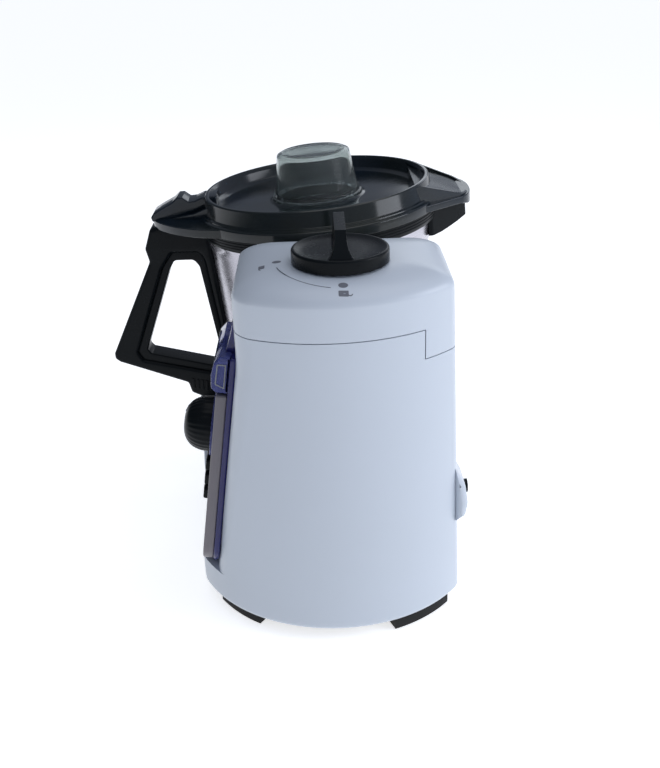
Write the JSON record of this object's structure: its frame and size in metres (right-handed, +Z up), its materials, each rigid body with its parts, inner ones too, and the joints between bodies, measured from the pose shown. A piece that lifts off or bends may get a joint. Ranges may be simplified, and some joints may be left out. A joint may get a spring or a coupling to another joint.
{
  "type": "cooking food processor",
  "caption": "Heated mixing jug with sloping spouted lid and measuring cup, standing in a bay beside a white motor tower with a winged lid-lock knob and a front control panel.",
  "frame": {"origin": "on the jug's drive axis, in the plane that the feet stand on", "axes": "+X from the jug to the tower (the right-hand side), -Y the front with the control panel and the jug handle, +Z up"},
  "size_m": [0.373, 0.3289, 0.3328],
  "materials": {
    "white_shell": "moulded, semi-gloss",
    "grey_base": "moulded, fine texture",
    "black_plastic": "moulded, satin",
    "black_rubber": "matte",
    "grey_rubber": "matte silicone",
    "violet_clear": "translucent, polished",
    "blue_clear": "translucent, polished",
    "grey_fascia": "satin",
    "dark_glass": "display",
    "board_green": "circuit board",
    "grey_plastic": "moulded",
    "screw_steel": "zinc plated",
    "motor_steel": "rolled sheet",
    "cast_alloy": "die cast",
    "bearing_steel": "ground",
    "coil_copper": "enamelled winding",
    "sensor_brass": "plated",
    "plated_steel": "pressed, plated",
    "jug_steel": "brushed stainless",
    "blade_steel": "polished stainless",
    "smoky_lid": "smoky, polished",
    "clear_cup": "clear, slightly smoked"
  },
  "bodies": {
    "housing": {"base_plate": "grey_base", "tower_shell": "white_shell", "jug_bay": "white_shell", "top_cover": "white_shell", "rear_hood": "white_shell", "cable_gland": "black_plastic", "panel_frame": "violet_clear", "panel_fascia": "grey_fascia", "display_window": "blue_clear", "display_module": "dark_glass", "control_board": "board_green", "speed_switch": "grey_plastic", "key_mat": "grey_plastic", "feet": "black_rubber", "base_screws": "screw_steel", "guide_screws": "screw_steel", "motor_can": "motor_steel", "motor_caps": "cast_alloy", "motor_bearings": "bearing_steel", "motor_bracket": "cast_alloy", "drive_belt": "black_rubber", "spindle_housing": "cast_alloy", "spindle_bearings": "bearing_steel", "heating_coil": "coil_copper", "coil_tray": "grey_plastic", "seat_ring": "grey_rubber", "temperature_sensor": "sensor_brass", "power_board": "board_green", "heat_sink": "cast_alloy", "lock_guide": "plated_steel", "lock_switch": "grey_plastic"},
    "motor_spinner": {"motor_rotor": "motor_steel", "motor_pulley": "grey_plastic", "cooling_fan": "black_plastic"},
    "jug_drive": {"drive_spindle": "bearing_steel", "driven_pulley": "grey_plastic", "drive_socket": "black_plastic"},
    "lock_turner": {"lock_knob": "black_plastic", "lock_shaft": "bearing_steel"},
    "lock_slider": {"lock_bolt": "plated_steel"},
    "dial": {"speed_dial": "black_plastic", "dial_shaft": "bearing_steel"},
    "time_button": {"time_key": "black_plastic"},
    "heat_button": {"heat_key": "black_plastic"},
    "boost_button": {"boost_key": "black_plastic"},
    "jug": {"jug_vessel": "jug_steel", "jug_collar": "black_plastic", "jug_handle": "black_plastic", "jug_foot": "black_plastic", "handle_screws": "screw_steel", "blade_bearing": "blade_steel", "blade_seal": "grey_rubber"},
    "blades": {"blade_shaft": "bearing_steel", "lower_blades": "blade_steel", "upper_blades": "blade_steel", "blade_nut": "blade_steel", "blade_dog": "black_plastic"},
    "lid_group": {"lid": "smoky_lid", "lid_gasket": "grey_rubber"},
    "cup": {"measuring_cup": "clear_cup"}
  },
  "joints": [
    {"name": "lock_turn", "type": "hinge", "parent": "housing", "child": "lock_turner", "pos_m": [0.194, 0.014, 0.29], "axis": [0, 0, -1], "range_deg": [0, 90]},
    {"name": "lock_slide", "type": "slide", "parent": "housing", "child": "lock_slider", "axis": [-1, 0, 0], "range_m": [0, 0.01]},
    {"name": "speed_turn", "type": "hinge", "parent": "housing", "child": "dial", "pos_m": [0.167, -0.07443, 0.15], "axis": [0, -0.9886, 0.1507], "range_deg": [-300, 0]},
    {"name": "time_press", "type": "slide", "parent": "housing", "child": "time_button", "axis": [0, 0.9886, -0.1507], "range_m": [0, 0.0015], "stiffness_N_per_m": 600},
    {"name": "heat_press", "type": "slide", "parent": "housing", "child": "heat_button", "axis": [0, 0.9886, -0.1507], "range_m": [0, 0.0015], "stiffness_N_per_m": 600},
    {"name": "boost_press", "type": "slide", "parent": "housing", "child": "boost_button", "axis": [0, 0.9886, -0.1507], "range_m": [0, 0.0015], "stiffness_N_per_m": 600},
    {"name": "jug_lift", "type": "slide", "parent": "housing", "child": "jug", "axis": [0, 0, 1], "range_m": [0, 0.21]},
    {"name": "lid_lift", "type": "slide", "parent": "jug", "child": "lid_group", "axis": [0, -0.0698, 0.9976], "range_m": [0, 0.09]},
    {"name": "cup_lift", "type": "slide", "parent": "lid_group", "child": "cup", "axis": [0, -0.0698, 0.9976], "range_m": [0, 0.06]},
    {"name": "motor_spin", "type": "hinge", "parent": "housing", "child": "motor_spinner", "pos_m": [0.188, 0, 0.1], "axis": [0, 0, 1], "continuous": true},
    {"name": "drive_spin", "type": "hinge", "parent": "housing", "child": "jug_drive", "pos_m": [0, 0, 0.04], "axis": [0, 0, 1], "continuous": true},
    {"name": "blade_spin", "type": "hinge", "parent": "jug", "child": "blades", "pos_m": [0, 0, 0.09], "axis": [0, 0, 1], "continuous": true}
  ],
  "couplings": [
    {"joint": "lock_slide", "follows": "lock_turn", "m_per_rad": 0.006366},
    {"joint": "drive_spin", "follows": "motor_spin", "ratio": 0.33333},
    {"joint": "blade_spin", "follows": "motor_spin", "ratio": 0.33333}
  ]
}
